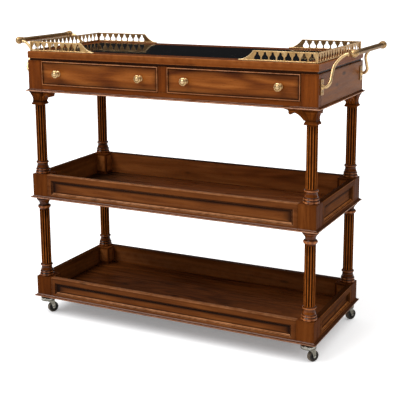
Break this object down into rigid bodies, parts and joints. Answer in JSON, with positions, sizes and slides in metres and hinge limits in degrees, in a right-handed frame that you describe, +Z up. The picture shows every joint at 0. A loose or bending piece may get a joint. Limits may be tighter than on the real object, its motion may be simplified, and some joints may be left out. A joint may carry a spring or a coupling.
{
  "type": "serving cart",
  "caption": "Wooden serving cart on swivel casters: a case with drawers and a railed top over open panelled trays on fluted columns, with a brass push handle at each end.",
  "frame": {"origin": "under the middle of the bounding box, on the floor", "axes": "+X towards the right-hand end for someone facing the drawers, -Y out of the drawers, +Z up"},
  "size_m": [1.2, 0.4616, 0.9562],
  "materials": {
    "mahogany": "polished",
    "tray_floor_wood": "polished",
    "lining_wood": "satin",
    "black_glass": "polished",
    "brass": "aged, polished",
    "plated_steel": "polished",
    "tyre_rubber": "matte"
  },
  "bodies": {
    "cart": {"black_top_inset": "black_glass", "case_back": "mahogany", "case_base_moulding": "mahogany", "case_bottom": "lining_wood", "case_front_frame": "mahogany", "case_side_left": "mahogany", "case_side_right": "mahogany", "caster_plate_back_left": "plated_steel", "caster_plate_back_right": "plated_steel", "caster_plate_front_left": "plated_steel", "caster_plate_front_right": "plated_steel", "gallery_left": "brass", "gallery_right": "brass", "handle_arm_left_back": "brass", "handle_arm_left_front": "brass", "handle_arm_right_back": "brass", "handle_arm_right_front": "brass", "handle_bar_left": "brass", "handle_bar_right": "brass", "low_tray_floor": "tray_floor_wood", "low_tray_moulding": "mahogany", "low_tray_rail_back": "mahogany", "low_tray_rail_front": "mahogany", "low_tray_rail_left": "mahogany", "low_tray_rail_right": "mahogany", "lower_column_back_left": "mahogany", "lower_column_back_right": "mahogany", "lower_column_front_left": "mahogany", "lower_column_front_right": "mahogany", "mid_tray_floor": "tray_floor_wood", "mid_tray_moulding": "mahogany", "mid_tray_rail_back": "mahogany", "mid_tray_rail_front": "mahogany", "mid_tray_rail_left": "mahogany", "mid_tray_rail_right": "mahogany", "top_board": "mahogany", "upper_column_back_left": "mahogany", "upper_column_back_right": "mahogany", "upper_column_front_left": "mahogany", "upper_column_front_right": "mahogany"},
    "left_drawer": {"left_drawer_box": "lining_wood", "left_drawer_front": "mahogany", "left_drawer_knob_left": "brass", "left_drawer_knob_right": "brass"},
    "right_drawer": {"right_drawer_box": "lining_wood", "right_drawer_front": "mahogany", "right_drawer_knob_left": "brass", "right_drawer_knob_right": "brass"},
    "caster_swivel_front_left": {"caster_fork_front_left": "plated_steel", "caster_axle_front_left": "plated_steel"},
    "caster_swivel_front_right": {"caster_fork_front_right": "plated_steel", "caster_axle_front_right": "plated_steel"},
    "caster_swivel_back_right": {"caster_fork_back_right": "plated_steel", "caster_axle_back_right": "plated_steel"},
    "caster_swivel_back_left": {"caster_fork_back_left": "plated_steel", "caster_axle_back_left": "plated_steel"},
    "caster_roller_front_left": {"caster_wheel_front_left": "tyre_rubber"},
    "caster_roller_front_right": {"caster_wheel_front_right": "tyre_rubber"},
    "caster_roller_back_right": {"caster_wheel_back_right": "tyre_rubber"},
    "caster_roller_back_left": {"caster_wheel_back_left": "tyre_rubber"}
  },
  "joints": [
    {"name": "left_drawer_slide", "type": "slide", "parent": "cart", "child": "left_drawer", "axis": [0, -1, 0], "range_m": [0, 0.28]},
    {"name": "right_drawer_slide", "type": "slide", "parent": "cart", "child": "right_drawer", "axis": [0, -1, 0], "range_m": [0, 0.28]},
    {"name": "caster_swivel_joint_front_left", "type": "hinge", "parent": "cart", "child": "caster_swivel_front_left", "pos_m": [-0.481, -0.182, 0.0585], "axis": [0, 0, 1], "continuous": true},
    {"name": "caster_swivel_joint_front_right", "type": "hinge", "parent": "cart", "child": "caster_swivel_front_right", "pos_m": [0.481, -0.182, 0.0585], "axis": [0, 0, 1], "continuous": true},
    {"name": "caster_swivel_joint_back_right", "type": "hinge", "parent": "cart", "child": "caster_swivel_back_right", "pos_m": [0.481, 0.198, 0.0585], "axis": [0, 0, 1], "continuous": true},
    {"name": "caster_swivel_joint_back_left", "type": "hinge", "parent": "cart", "child": "caster_swivel_back_left", "pos_m": [-0.481, 0.198, 0.0585], "axis": [0, 0, 1], "continuous": true},
    {"name": "caster_roller_joint_front_left", "type": "hinge", "parent": "caster_swivel_front_left", "child": "caster_roller_front_left", "pos_m": [-0.47149, -0.16791, 0.018], "axis": [-0.829, 0.5592, 0], "continuous": true},
    {"name": "caster_roller_joint_front_right", "type": "hinge", "parent": "caster_swivel_front_right", "child": "caster_roller_front_right", "pos_m": [0.49051, -0.16791, 0.018], "axis": [-0.829, 0.5592, 0], "continuous": true},
    {"name": "caster_roller_joint_back_right", "type": "hinge", "parent": "caster_swivel_back_right", "child": "caster_roller_back_right", "pos_m": [0.49051, 0.21209, 0.018], "axis": [-0.829, 0.5592, 0], "continuous": true},
    {"name": "caster_roller_joint_back_left", "type": "hinge", "parent": "caster_swivel_back_left", "child": "caster_roller_back_left", "pos_m": [-0.47149, 0.21209, 0.018], "axis": [-0.829, 0.5592, 0], "continuous": true}
  ]
}
